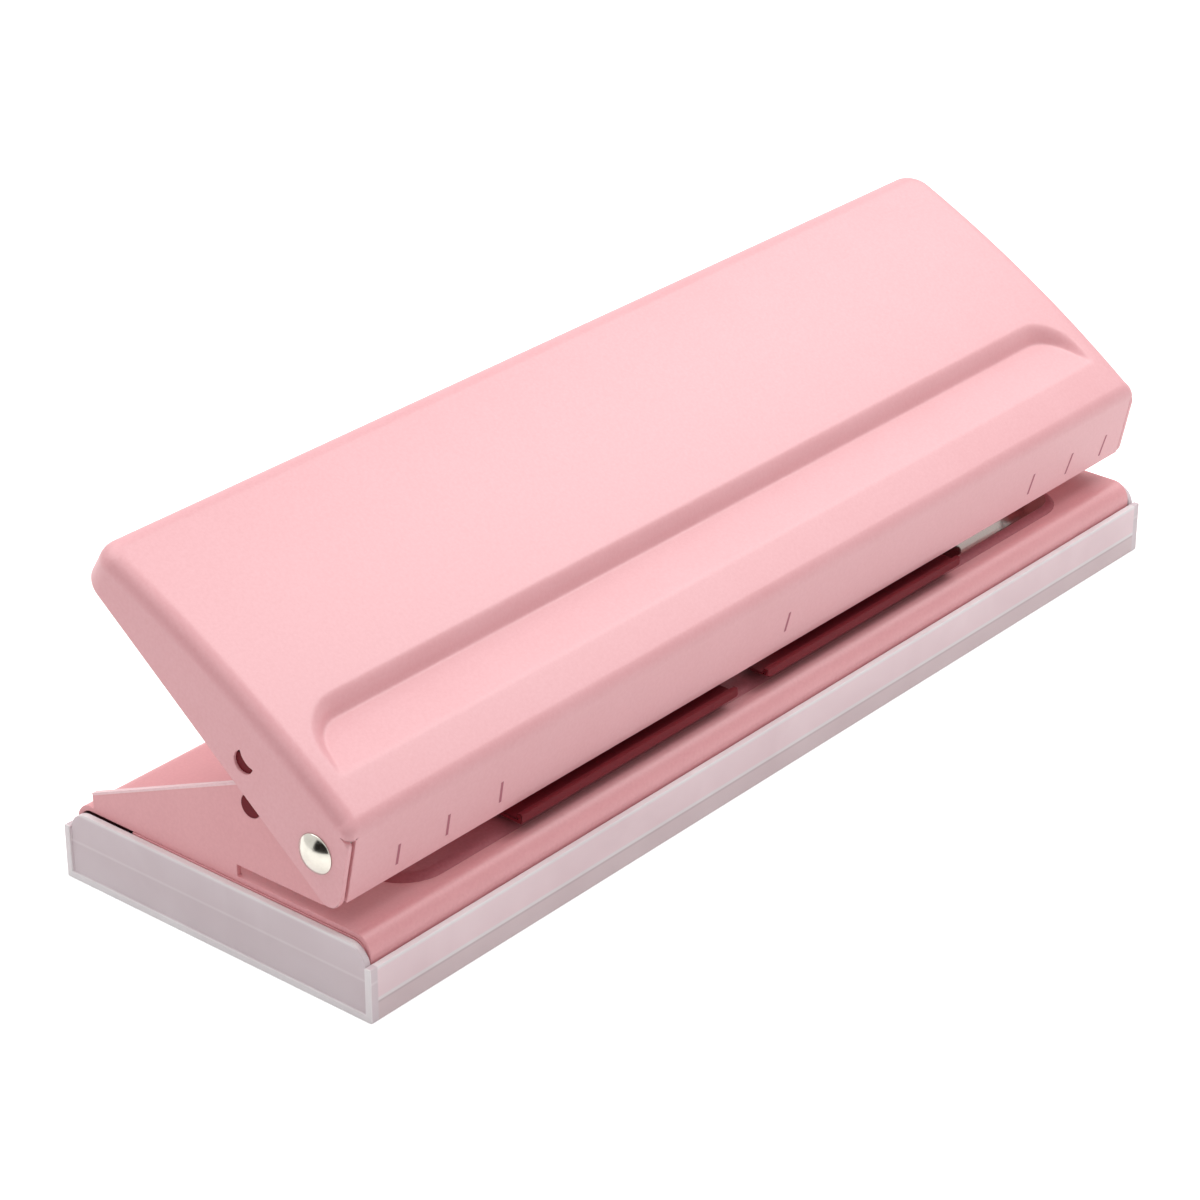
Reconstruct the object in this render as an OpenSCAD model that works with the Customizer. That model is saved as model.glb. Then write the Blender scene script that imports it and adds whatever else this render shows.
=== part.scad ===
// Six-hole desk punch: a pressed steel lever over a sheet-metal base in a clip-on chip tray.
// X runs along the punch, +Y points to the rear where the lever rises, +Z is up.
// The origin is the middle of the tray's underside. Sizes are in millimetres.

/* [Chip tray] */
// Overall length across the front and rear walls
tray_l = 265; // [240:1:300]
// Overall depth, front wall to rear wall
tray_w = 84; // [80:0.5:100]
// Height of the front and rear walls
tray_front_h = 12; // [10:0.5:13]
// Height of the two end walls
tray_end_h = 15.8; // [14:0.1:16]
// Wall thickness of the moulded tray
tray_wall = 1.5; // [1:0.1:2]
// Thickness of the tray floor
tray_floor = 1.5; // [1:0.1:2.5]
// How far the end walls stand in from the ends of the front wall
tray_end_step = 0.5; // [0.3:0.1:1.5]
// Height of the ledge that carries the base
ledge_h = 4.7; // [3:0.1:7]
// Width of that ledge
ledge_w = 1; // [0.6:0.1:1.4]
// Outer corner radius of the end walls
tray_corner_r = 4.6; // [3:0.1:6]

/* [Base] */
// Sheet thickness of the base
base_t = 1.2; // [0.8:0.1:1.6]
// Clearance between the base and the tray around it
tray_fit = 0.3; // [0.2:0.05:0.6]
// Height of the deck's top face above the table
deck_h = 17.2; // [16.5:0.1:20]
// Outer radius of the deck's rolled front and rear edges
edge_r = 4; // [2:0.1:6]
// Paper throat: how far the end cheeks are undercut behind the front edge
throat_depth = 35.2; // [32:0.1:38]
// Height of the undercut above the deck
throat_h = 2.6; // [1.6:0.1:4]
// Rear end of the cheeks, measured in from the rear edge of the base
cheek_rear_set = 4.7; // [2:0.1:10]
// Height of the cheeks above the deck at their rear end
cheek_rear_h = 3.2; // [1:0.1:6]
// Height of the cheeks above the deck beside the lever
cheek_top_h = 22.1; // [20:0.1:22.6]
// Width of the level top of each cheek behind the pivot
cheek_flat = 21; // [16:0.5:24]
// Reach of the cheeks in front of the pivot
cheek_nose = 4.8; // [3.8:0.1:5]
// Corner radius of the cheeks in front
cheek_r = 7; // [6:0.1:8]

/* [Lever pivot] */
// Pivot axis, measured back from the front edge of the base
pivot_set = 10.8; // [9:0.1:13]
// Pivot axis above the deck
pivot_h = 15.8; // [15:0.1:17.5]
// Shank diameter of the pivot rivets
rivet_d = 4.5; // [3.5:0.1:5]
// Diameter of the domed rivet heads
rivet_head_d = 8.7; // [7:0.1:9.5]
// Height of the domed rivet heads
rivet_head_h = 1.9; // [1.2:0.1:2.4]
// Thickness of the washer between cheek and lever
washer_t = 1.5; // [1:0.1:2]
// Diameter of that washer
washer_d = 9.4; // [8:0.1:10]
// Radial clearance of the turning and sliding fits
run_fit = 0.05; // [0.03:0.01:0.08]

/* [Lever] */
// Sheet thickness of the lever
lever_t = 1.2; // [0.8:0.1:1.4]
// Angle of the lever's top plate at rest
open_angle = 31.5; // [29:0.5:33]
// Top plate above the pivot axis, lever level
top_h = 12.7; // [12:0.1:15]
// Rear edge behind the pivot axis
rear_reach = 73; // [60:0.5:84]
// Lower edge of the front flange in front of the pivot axis
front_reach = 9.9; // [9.6:0.1:12]
// Lower edge of the front flange below the pivot axis
front_drop = 5.1; // [4:0.1:5.4]
// Lean of the front flange
front_lean = 20; // [12:0.5:22]
// Lower edge of the side flanges below the pivot axis, at the pivot
side_drop = 7.2; // [6.8:0.1:7.8]
// Taper of the side flanges towards the rear
side_taper = 7.2; // [4:0.1:8]
// Bend radius along the front
front_r = 4; // [2.5:0.1:5]
// Bend radius along the rear
rear_r = 5; // [3:0.1:7]
// Bend radius along the sides
side_r = 3.5; // [2:0.1:5]
// Corner radius of the top plate at the rear
corner_r = 6; // [5:0.5:12]
// Corner radius of the side flanges in front
toe_r = 3.2; // [2:0.1:4]
// Width of the relief slot between front and side flange
slot_w = 1.1; // [0.8:0.1:1.6]
// Length of the relief slot above the pivot axis
slot_h = 9.2; // [6:0.1:9.5]

/* [Finger scoop] */
// Length of the scoop pressed into the top plate
scoop_l = 248; // [180:1:250]
// Rear edge of the scoop behind the pivot axis
scoop_rear = 21.5; // [18:0.5:22.5]
// Depth of the scoop at its rear wall
scoop_d = 3; // [1.5:0.1:3.4]
// Distance in front of the wall over which the floor rises to the plate
scoop_run = 12; // [9:0.5:16]
// Corner radius of the scoop's ends
scoop_r = 9; // [5:0.5:12]

/* [Punches] */
// Spacing of the holes within each group of three
hole_pitch = 19; // [18:0.1:20]
// Spacing across the middle, between the two groups
hole_mid = 70; // [66:0.5:72]
// Punch diameter
punch_d = 5.5; // [5:0.1:6]
// Punch axis behind the pivot axis
punch_arm = 16.4; // [15.8:0.1:17.2]
// Diameter of the punch heads
head_d = 10; // [9:0.1:11]
// Thickness of the punch heads
head_t = 2.5; // [2:0.1:3]
// Top of the punch heads above the pivot axis
head_top_h = 6.7; // [6.2:0.1:7.2]
// Depth of the notch ground into the cutting end
notch_d = 1.2; // [0.5:0.1:2]
// Outer diameter of the guide bushes
bush_d = 7; // [6.6:0.1:7.2]
// Diameter of their collars
collar_d = 10; // [9.6:0.1:11]
// Thickness of their collars
collar_t = 1; // [0.6:0.1:1.4]
// Height of the bushes above their collars
bush_h = 5; // [3:0.1:7]

/* [Guide rails] */
// Sheet thickness of the guide rails
rail_t = 1.5; // [1:0.1:1.8]
// Thickness of the die plate on the deck
die_t = 1.2; // [0.8:0.1:1.4]
// Paper gap between die plate and guide rail
paper_gap = 1.5; // [1:0.1:2]
// Length of the die plate
die_l = 228; // [190:1:240]
// Corner radius of the die plate in front
die_r = 8; // [3:0.5:12]
// Front edge of die plate and rails in front of the punch axis
rail_front = 15; // [12:0.5:16]
// Paper stop behind the punch axis
stop_set = 7.5; // [6.5:0.1:8]
// Length of the rail's foot behind the stop
foot_l = 12; // [10:0.5:16]
// Gap between the two rails in the middle
rail_gap = 14; // [8:0.5:24]
// Length of each rail beyond its outer punch
rail_end = 6.5; // [5.5:0.1:12]
// Height of the rail's front lip
lip_h = 6; // [3:0.1:7]
// Corner radius of the lip
lip_r = 2.5; // [1:0.1:4]
// Shank diameter of the rail rivets
stud_d = 3; // [2:0.1:4]
// Head diameter of the rail rivets
stud_head_d = 6; // [5:0.1:7]
// Head height of the rail rivets
stud_head_h = 1.3; // [0.8:0.1:1.6]
// Rivets in each rail
stud_count = 3; // [2:1:4]

/* [Press bar] */
// Sheet thickness of the bar that drives the punches
bar_t = 1.6; // [1.2:0.1:2]
// Radius of its rolled nose
nose_r = 2; // [1.4:0.1:2.2]
// Nose in front of the punch axis at rest
nose_lead = 1.6; // [1:0.1:2]
// Free play between nose and punch heads
bar_play = 0.3; // [0.3:0.05:0.5]
// Height of the bar's upright web
bar_web = 5; // [3:0.1:6]
// Length of the flange that is welded under the top plate
bar_flange = 12; // [8:0.5:20]

/* [Springs] */
// Wire diameter of the punch springs
punch_wire = 0.9; // [0.6:0.05:1]
// Mean diameter of the punch springs
punch_coil_d = 8.4; // [8.2:0.1:9]
// Turns of the punch springs
punch_turns = 6; // [4:1:7]
// Wire diameter of the lever springs
lever_wire = 0.7; // [0.5:0.05:0.8]
// Mean diameter of the lever springs
lever_coil_d = 4.2; // [3.4:0.1:4.4]
// Turns of the lever springs
lever_turns = 4; // [3:1:5]
// Radius of the half-moon lances that make the spring seats
lance_r = 2.5; // [2:0.1:2.8]
// Lance in the cheek behind the pivot axis
cheek_lance_y = 19.7; // [18.5:0.1:21]
// Lance in the cheek above the pivot axis
cheek_lance_z = 1.6; // [0.5:0.1:2.2]
// Lance in the lever behind the pivot axis, lever at rest
lever_lance_y = 18.2; // [17.5:0.1:20]
// Lance in the lever above the pivot axis, lever at rest
lever_lance_z = 12.9; // [12.5:0.1:14]
// Length of the spring seats inside the cheeks
seat_l = 6; // [5:0.1:7]

/* [Hidden] */
$fn = 64;
// Rings along one turn of a spring and sides of its wire
RINGS = 8;
SIDES = 6;
// Overlap of joined forms, overshoot of cuts, and a length beyond the lever
eps = 0.01;
over = 1;
far = 60;
// How far a round stands proud of a sloped line that it meets
nip = 0.01;
PINK = "#f0c0c4";
DEEP_PINK = "#dc949a";
STEEL = "#c9cacc";
WHITE = "#eeeef0";

end_half = tray_l / 2 - tray_end_step;
base_half = end_half - tray_wall - tray_fit;
base_front = -tray_w / 2 + tray_wall + tray_fit;
base_rear = -base_front;
lip_low = ledge_h + tray_fit;
pivot_y = base_front + pivot_set;
pivot_z = deck_h + pivot_h;

// Air on each side of the washer and under the rivet's heads
pivot_play = 0.05;
lever_in = base_half + washer_t + 2 * pivot_play;
lever_half = lever_in + lever_t;
under_h = top_h - lever_t;

punch_y = pivot_y + punch_arm;
stop_y = punch_y + stop_set;
rail_y = punch_y - rail_front;
die_top = deck_h + die_t;
guide_z = die_top + paper_gap;
guide_top = guide_z + rail_t;
head_top = pivot_z + head_top_h;
// Air over the paper gap, around the punches in die and deck, and before the paper stop
tip_play = 0.4;
die_fit = 0.05;
chip_play = 0.8;
stop_gap = 0.4;
tip_z = guide_z + tip_play;
collar_top = guide_top + collar_t;
rail_in = rail_gap / 2;
rail_out = hole_mid / 2 + 2 * hole_pitch + rail_end;
rail_len = rail_out - rail_in;
rail_mid = (rail_in + rail_out) / 2;
stud_inset = 7;
die_stud_inset = 16;
punch_spring_l = head_top - head_t - collar_top;
lever_spring_l = lever_lance_z + lance_r - lever_t - cheek_lance_z - base_t;

// Depth of the spring seats' roots in the sheet
seat_root = 0.6;
side = [-1, 1];
function hole_x(i) = (i < 3 ? -1 : 1) * (hole_mid / 2 + (i < 3 ? 2 - i : i - 3) * hole_pitch);
// A point beside the pivot, seen in the level lever's own frame
function to_lever(p) = [
    p[0] * cos(open_angle) + p[1] * sin(open_angle),
    p[1] * cos(open_angle) - p[0] * sin(open_angle)
];

// Carries a profile drawn in Y and Z along X
module along_x(length) {
    rotate([90, 0, 90])
        linear_extrude(height = length, center = true)
            children();
}

// Carries a profile drawn in X and Z along Y, from y0 to y1
module along_y(y0, y1) {
    translate([0, y1, 0])
        rotate([90, 0, 0])
            linear_extrude(height = y1 - y0)
                children();
}

// Block with a flat base at z0, square ends and both upper corners rounded
module round_top(x0, x1, z0, z1, r) {
    polygon([[x0, z0], [x0, z1 - r], [x0 + r, z1], [x1 - r, z1], [x1, z1 - r], [x1, z0]]);
    for (x = [x0 + r, x1 - r])
        translate([x, z1 - r])
            circle(r);
}

// Cylinder lying along X
module rod_x(x0, x1, r) {
    translate([x0, 0, 0])
        rotate([0, 90, 0])
            cylinder(h = x1 - x0, r = r);
}

// Domed cap of the given diameter and height, standing on z = 0
module dome(d, h) {
    ball = (d * d / 4 + h * h) / (2 * h);
    rotate_extrude()
        intersection() {
            translate([0, h - ball])
                circle(ball);
            square([d, h]);
        }
}

// Crescent of a half-moon lance, its hollow side up and to the front
module crescent() {
    bite = 1.1 * lance_r;
    difference() {
        circle(lance_r);
        translate([-bite / 2, bite / 2])
            circle(bite);
    }
}

// One unbroken round-wire helix between two seats, as a swept tube
function coil_point(a, coil_d, rise) = [coil_d / 2 * cos(a), coil_d / 2 * sin(a), rise * a / 360];
function wire_ring(a, coil_d, wire, rise) =
    let (
        out = [cos(a), sin(a), 0],
        run = [-sin(a) * PI * coil_d, cos(a) * PI * coil_d, rise],
        up = cross(out, run / norm(run))
    )
    [for (k = [0:SIDES - 1])
        coil_point(a, coil_d, rise) + wire / 2 * (cos(360 * k / SIDES) * out - sin(360 * k / SIDES) * up)];

// Height of the wire's axis over its seat: its radius and a little air
function wire_rest(wire) = 0.55 * wire;

module coil_spring(coil_d, wire, turns, z0, z1) {
    rise = (z1 - z0 - 2 * wire_rest(wire)) / turns;
    count = turns * RINGS;
    points = [for (i = [0:count]) each wire_ring(i * 360 / RINGS, coil_d, wire, rise)];
    walls = [for (i = [0:count - 1], k = [0:SIDES - 1])
        let (a = i * SIDES + k, b = i * SIDES + (k + 1) % SIDES)
        each [[a, b, b + SIDES], [a, b + SIDES, a + SIDES]]];
    first = [for (k = [1:SIDES - 2]) [0, k + 1, k]];
    last = [for (k = [1:SIDES - 2]) [for (v = [0, k, k + 1]) count * SIDES + v]];
    translate([0, 0, z0 + wire_rest(wire)])
        polyhedron(points, concat(walls, first, last), convexity = 8);
}

// Least air between neighbouring turns
function coil_gap(coil_d, wire, turns, length) =
    let (
        rise = (length - 2 * wire_rest(wire)) / turns,
        path = [for (i = [0:turns * RINGS]) coil_point(i * 360 / RINGS, coil_d, rise)],
        n = len(path) - 1
    )
    min([for (i = [0:n], j = [0:n]) if (j - i >= RINGS / 2) norm(path[i] - path[j])]) - wire;

// Tray

module chip_tray() {
    color(WHITE) {
        translate([-tray_l / 2, -tray_w / 2, 0])
            cube([tray_l, tray_w, tray_floor]);
        for (s = side) {
            translate([-tray_l / 2, s * (tray_w - tray_wall) / 2 - tray_wall / 2, 0])
                cube([tray_l, tray_wall, tray_front_h]);
            translate([-end_half, s * (tray_w / 2 - tray_wall - ledge_w / 2) - ledge_w / 2, 0])
                cube([2 * end_half, ledge_w, ledge_h]);
            translate([s * (end_half - tray_wall / 2), 0, 0])
                along_x(tray_wall)
                    round_top(-tray_w / 2 + tray_wall, tray_w / 2 - tray_wall, 0, tray_end_h, tray_corner_r);
        }
    }
}

// Base

// Deck with rolled front and rear edges and open ends
module deck() {
    difference() {
        along_x(2 * base_half)
            round_top(base_front, base_rear, lip_low, deck_h, edge_r);
        along_x(2 * base_half + 2 * over)
            round_top(base_front + base_t, base_rear - base_t, lip_low - over, deck_h - base_t, edge_r - base_t);
    }
}

// Outline of an end cheek: sloped rear, level top, rounded nose, undercut for the paper
module cheek_outline() {
    nose_y = pivot_y - cheek_nose;
    low_z = deck_h + throat_h;
    top_z = deck_h + cheek_top_h;
    rear_y = base_rear - cheek_rear_set;
    notch_y = base_front + throat_depth;
    polygon([
        [rear_y, deck_h - base_t],
        [rear_y, deck_h + cheek_rear_h],
        [pivot_y + cheek_flat, top_z],
        [nose_y + cheek_r, top_z],
        [nose_y, top_z - cheek_r],
        [nose_y, low_z + cheek_r],
        [nose_y + cheek_r, low_z],
        [notch_y, low_z],
        [notch_y, deck_h - base_t]
    ]);
    for (z = [top_z - cheek_r, low_z + cheek_r])
        translate([nose_y + cheek_r, z])
            circle(cheek_r);
}

module cheek() {
    translate([base_half - base_t / 2, 0, 0])
        along_x(base_t)
            difference() {
                cheek_outline();
                translate([pivot_y, pivot_z])
                    circle(rivet_d / 2 + run_fit);
                translate([pivot_y + cheek_lance_y, pivot_z + cheek_lance_z])
                    crescent();
            }
    translate([base_half - base_t - seat_l, pivot_y + cheek_lance_y - lance_r, pivot_z + cheek_lance_z])
        cube([seat_l + seat_root, 2 * lance_r, base_t]);
}

module base_plate() {
    color(DEEP_PINK)
        difference() {
            union() {
                deck();
                cheek();
                mirror([1, 0, 0])
                    cheek();
            }
            for (i = [0:5])
                translate([hole_x(i), punch_y, deck_h - base_t - over])
                    cylinder(h = base_t + 2 * over, r = punch_d / 2 + chip_play);
            for (p = concat(stud_places(), die_stud_places()))
                translate([p[0], p[1], deck_h - base_t - over])
                    cylinder(h = base_t + 2 * over, r = stud_d / 2);
        }
}

// Die plate and guide rails

function stud_places() = [for (s = side, k = [0:stud_count - 1])
    [s * (rail_in + stud_inset + k * (rail_len - 2 * stud_inset) / (stud_count - 1)),
        stop_y + rail_t + (foot_l - rail_t) / 2]];
function die_stud_places() = [for (s = side) [s * (die_l / 2 - die_stud_inset), punch_y]];

module die_plate() {
    rear = stop_y - stop_gap;
    color(STEEL)
        difference() {
            translate([0, 0, deck_h])
                linear_extrude(height = die_t) {
                    polygon([
                        [-die_l / 2, rear],
                        [-die_l / 2, rail_y + die_r],
                        [-die_l / 2 + die_r, rail_y],
                        [die_l / 2 - die_r, rail_y],
                        [die_l / 2, rail_y + die_r],
                        [die_l / 2, rear]
                    ]);
                    for (s = side)
                        translate([s * (die_l / 2 - die_r), rail_y + die_r])
                            circle(die_r);
                }
            for (i = [0:5])
                translate([hole_x(i), punch_y, deck_h - over])
                    cylinder(h = die_t + 2 * over, r = punch_d / 2 + die_fit);
            for (p = die_stud_places())
                translate([p[0], p[1], deck_h - over])
                    cylinder(h = die_t + 2 * over, r = stud_d / 2);
        }
}

// Flush in the die plate, headed under the deck
module die_rivets() {
    color(STEEL)
        for (p = die_stud_places())
            translate([p[0], p[1], deck_h - base_t]) {
                cylinder(h = base_t + die_t, r = stud_d / 2);
                mirror([0, 0, 1])
                    dome(stud_head_d, stud_head_h);
            }
}

// Joggled strip: foot on the deck, paper stop, guide plate over the slot, turned-up front lip
module rail_section() {
    polygon([
        [stop_y + foot_l, deck_h],
        [stop_y + foot_l, deck_h + rail_t],
        [stop_y + rail_t, deck_h + rail_t],
        [stop_y + rail_t, guide_top],
        [rail_y + rail_t, guide_top],
        [rail_y + rail_t, guide_z + lip_h],
        [rail_y, guide_z + lip_h],
        [rail_y, guide_z],
        [stop_y, guide_z],
        [stop_y, deck_h]
    ]);
}

// Everything outside the rounded lower corners of the front lip
module lip_corners() {
    along_y(rail_y - over, rail_y + 2 * lip_r)
        difference() {
            for (x = [rail_in - over, rail_out - lip_r])
                translate([x, guide_z - over])
                    square([lip_r + over, lip_r + over]);
            for (x = [rail_in + lip_r, rail_out - lip_r])
                translate([x, guide_z + lip_r])
                    circle(lip_r);
        }
}

module guide_rail() {
    difference() {
        translate([rail_mid, 0, 0])
            along_x(rail_len)
                rail_section();
        lip_corners();
        for (i = [3:5])
            translate([hole_x(i), punch_y, guide_z - over])
                cylinder(h = rail_t + 2 * over, r = bush_d / 2);
        for (p = stud_places())
            translate([p[0], p[1], deck_h - over])
                cylinder(h = rail_t + 2 * over, r = stud_d / 2);
    }
}

module guide_rail_left() {
    color(DEEP_PINK)
        mirror([1, 0, 0])
            guide_rail();
}

module guide_rail_right() {
    color(DEEP_PINK)
        guide_rail();
}

module rail_rivets() {
    color(STEEL)
        for (p = stud_places())
            translate([p[0], p[1], deck_h - base_t]) {
                cylinder(h = base_t + rail_t, r = stud_d / 2);
                translate([0, 0, base_t + rail_t])
                    dome(stud_head_d, stud_head_h);
                mirror([0, 0, 1])
                    dome(stud_head_d, stud_head_h);
            }
}

// Punches, their bushes and springs

module guide_bush(i) {
    color(STEEL)
        translate([hole_x(i), punch_y, 0])
            difference() {
                union() {
                    translate([0, 0, guide_z])
                        cylinder(h = rail_t + collar_t + bush_h, r = bush_d / 2);
                    translate([0, 0, guide_top])
                        cylinder(h = collar_t, r = collar_d / 2);
                }
                translate([0, 0, guide_z - over])
                    cylinder(h = rail_t + collar_t + bush_h + 2 * over, r = punch_d / 2 + run_fit);
            }
}

// Round shank with a rounded head; a notch across the cutting end leaves two points
module punch(i) {
    crown = 0.6;
    color(STEEL)
        translate([hole_x(i), punch_y, 0])
            difference() {
                union() {
                    translate([0, 0, tip_z])
                        cylinder(h = head_top - head_t - tip_z, r = punch_d / 2);
                    translate([0, 0, head_top - head_t])
                        cylinder(h = head_t - crown, r = head_d / 2);
                    translate([0, 0, head_top - crown])
                        dome(head_d, crown);
                }
                translate([0, 0, tip_z])
                    along_x(punch_d + 2 * over)
                        polygon([[-punch_d / 2, -eps], [punch_d / 2, -eps], [0, notch_d]]);
            }
}

module punch_spring(i) {
    color(STEEL)
        translate([hole_x(i), punch_y, 0])
            coil_spring(punch_coil_d, punch_wire, punch_turns, collar_top, head_top - head_t);
}

// Pivot

module pivot_rivet() {
    tail_edge = 1.2;
    tail_h = 1;
    tail_x = base_half - base_t - pivot_play;
    head_x = lever_half + pivot_play;
    color(STEEL)
        translate([0, pivot_y, pivot_z]) {
            rod_x(tail_x - eps, head_x + eps, rivet_d / 2);
            translate([head_x, 0, 0])
                rotate([0, 90, 0])
                    dome(rivet_head_d, rivet_head_h);
            translate([tail_x, 0, 0])
                rotate([0, -90, 0])
                    dome(rivet_d + 2 * tail_edge, tail_h);
        }
}

module pivot_washer() {
    x0 = base_half + pivot_play;
    color(WHITE)
        translate([0, pivot_y, pivot_z])
            difference() {
                rod_x(x0, x0 + washer_t, washer_d / 2);
                rod_x(x0 - over, x0 + washer_t + over, rivet_d / 2 + run_fit);
            }
}

module pivot_rivet_left() {
    mirror([1, 0, 0])
        pivot_rivet();
}

module pivot_rivet_right() {
    pivot_rivet();
}

module pivot_washer_left() {
    mirror([1, 0, 0])
        pivot_washer();
}

module pivot_washer_right() {
    pivot_washer();
}

// Lever: drawn level about the pivot axis, then tilted open

module lever_pose() {
    translate([0, pivot_y, pivot_z])
        rotate([open_angle, 0, 0])
            children();
}

// Front flange's face at height w, for a skin lying inset inside the outer face
function front_at(w, inset) = -front_reach + inset / cos(front_lean) + (w + front_drop) * tan(front_lean);
// Lower edge of the side flanges
function edge_at(u) = -side_drop + u * tan(side_taper);

// Section through front bend, top plate and rear bend
module lever_section(inset) {
    rf = front_r - inset;
    rr = rear_r - inset;
    top = top_h - inset;
    back = rear_reach - inset;
    low = -far / 2;
    bend = [front_at(top - rf, inset) + (rf - nip) / cos(front_lean), top - rf];
    polygon([
        [front_at(low, inset), low],
        bend + (rf - nip) * [-cos(front_lean), sin(front_lean)],
        bend + [0, rf],
        [back - rr, top],
        [back, top - rr],
        [back, low]
    ]);
    translate(bend)
        circle(rf);
    translate([back - rr, top - rr])
        circle(rr);
}

// Top plate seen from above, rounded at the two rear corners
module lever_plan(inset) {
    half = lever_half - inset;
    back = rear_reach - inset;
    r = corner_r - inset;
    polygon([[-half, -far], [half, -far], [half, back - r], [half - r, back], [r - half, back], [-half, back - r]]);
    for (s = side)
        translate([s * (half - r), back - r])
            circle(r);
}

// Solid bounded by one skin of the sheet
module lever_form(inset) {
    intersection() {
        along_x(2 * lever_half)
            lever_section(inset);
        along_y(-far, rear_reach)
            round_top(inset - lever_half, lever_half - inset, -far / 2, top_h - inset, side_r - inset);
        translate([0, 0, -far / 2])
            linear_extrude(height = far)
                lever_plan(inset);
    }
}

// Space of the finger scoop above one skin: rising floor, sloped rear wall, sloped round ends
module scoop(inset) {
    fall = scoop_d / scoop_run;
    drop = inset * sqrt(1 + fall * fall);
    back = scoop_rear + inset * sqrt(2);
    half = scoop_l / 2 + inset * sqrt(2);
    front = scoop_rear - scoop_d - scoop_run;
    meet = (back - front - drop) / (1 + fall) + front;
    low = top_h - (meet - front) * fall - drop;
    high = top_h + over;
    deep = top_h - scoop_d - 2 * inset - over;
    intersection() {
        along_x(2 * half)
            polygon([
                [front - far, top_h - drop],
                [front, top_h - drop],
                [meet, low],
                [back + high - top_h, high],
                [front - far, high]
            ]);
        along_y(front - drop / fall - eps, far)
            polygon([
                [top_h - deep - half, deep],
                [half - top_h + deep, deep],
                [half + high - top_h, high],
                [top_h - high - half, high]
            ]);
        translate([0, 0, deep])
            linear_extrude(height = high - deep) {
                r = scoop_r + inset;
                polygon([
                    [-half, front - far],
                    [half, front - far],
                    [half, back - r],
                    [half - r, back],
                    [r - half, back],
                    [-half, back - r]
                ]);
                for (s = side)
                    translate([s * (half - r), back - r])
                        circle(r);
            }
    }
}

// Centre of a fillet of radius r between the front edge and the lower edge of a side flange
function toe(r) =
    let (
        a = tan(front_lean),
        b = tan(side_taper),
        c = -front_reach + front_drop * a + r / cos(front_lean),
        d = -side_drop + r / cos(side_taper),
        u = (c + a * d) / (1 - a * b)
    )
    [u, d + b * u];

// What is trimmed off below the flanges
module lever_trim() {
    along_x(2 * lever_half + 2 * over)
        polygon([[-far, edge_at(-far)], [2 * far, edge_at(2 * far)], [2 * far, -2 * far], [-far, -2 * far]]);
    reach = toe_r - nip;
    along_x(2 * lever_half + 2 * over)
        difference() {
            polygon([
                toe(-over),
                toe(reach) + reach * [-cos(front_lean), sin(front_lean)],
                toe(reach) + reach * [sin(side_taper), -cos(side_taper)]
            ]);
            translate(toe(reach))
                circle(toe_r);
        }
    along_x(2 * lever_in)
        polygon([[-far, -front_drop], [-front_reach / 2, -front_drop], [-front_reach / 2, -far], [-far, -far]]);
    for (s = side)
        translate([s * (lever_in - slot_w / 2), 0, 0])
            along_x(slot_w)
                polygon([[-far, slot_h], [front_at(slot_h, lever_t) + eps, slot_h], [0, -far], [-far, -far]]);
}

module lever() {
    lance = to_lever([lever_lance_y, lever_lance_z]);
    seat = to_lever([lever_lance_y, lever_lance_z + lance_r - lever_t]);
    color(PINK)
        lever_pose() {
            difference() {
                difference() {
                    lever_form(0);
                    scoop(0);
                }
                difference() {
                    lever_form(lever_t);
                    scoop(lever_t);
                }
                lever_trim();
                rod_x(-lever_half - over, lever_half + over, rivet_d / 2 + run_fit);
                translate([0, lance[0], lance[1]])
                    rotate([-open_angle, 0, 0])
                        along_x(2 * lever_half + 2 * over)
                            crescent();
            }
            for (s = side)
                translate([s * (lever_in - seat_l / 2 + seat_root / 2), seat[0], seat[1]])
                    rotate([-open_angle, 0, 0])
                        translate([-(seat_l + seat_root) / 2, -lance_r, 0])
                            cube([seat_l + seat_root, 2 * lance_r, lever_t]);
        }
}

// Straight strip of the bar between two points, with round ends
module strip(p, q) {
    run = q - p;
    translate(p) {
        rotate(atan2(run[1], run[0]))
            translate([0, -bar_t / 2])
                square([norm(run), bar_t]);
        circle(bar_t / 2);
    }
}

module press_bar() {
    bar_end = 2;
    nose = to_lever([punch_arm - nose_lead, head_top_h + bar_play + nose_r]);
    knee = nose + [0, bar_web];
    heel_w = under_h - bar_t / 2;
    heel = [knee[0] + heel_w - knee[1], heel_w];
    bar_half = hole_mid / 2 + 2 * hole_pitch + head_d / 2 + bar_end;
    color(STEEL)
        lever_pose()
            along_x(2 * bar_half) {
                translate(nose)
                    circle(nose_r);
                strip(nose, knee);
                strip(knee, heel);
                strip(heel, heel + [bar_flange, 0]);
            }
}

module lever_spring() {
    low = pivot_z + cheek_lance_z + base_t;
    high = pivot_z + lever_lance_z + lance_r - lever_t;
    color(STEEL)
        translate([base_half - base_t - seat_l / 2, pivot_y + (cheek_lance_y + lever_lance_y) / 2, 0])
            coil_spring(lever_coil_d, lever_wire, lever_turns, low, high);
}

module lever_spring_left() {
    mirror([1, 0, 0])
        lever_spring();
}

module lever_spring_right() {
    lever_spring();
}

echo(punch_spring_gap = coil_gap(punch_coil_d, punch_wire, punch_turns, punch_spring_l));
echo(lever_spring_gap = coil_gap(lever_coil_d, lever_wire, lever_turns, lever_spring_l));

chip_tray();
base_plate();
die_plate();
die_rivets();
guide_rail_left();
guide_rail_right();
rail_rivets();
for (i = [0:5]) {
    guide_bush(i);
    punch(i);
    punch_spring(i);
}
pivot_rivet_left();
pivot_rivet_right();
pivot_washer_left();
pivot_washer_right();
lever();
press_bar();
lever_spring_left();
lever_spring_right();
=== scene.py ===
import math

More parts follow.
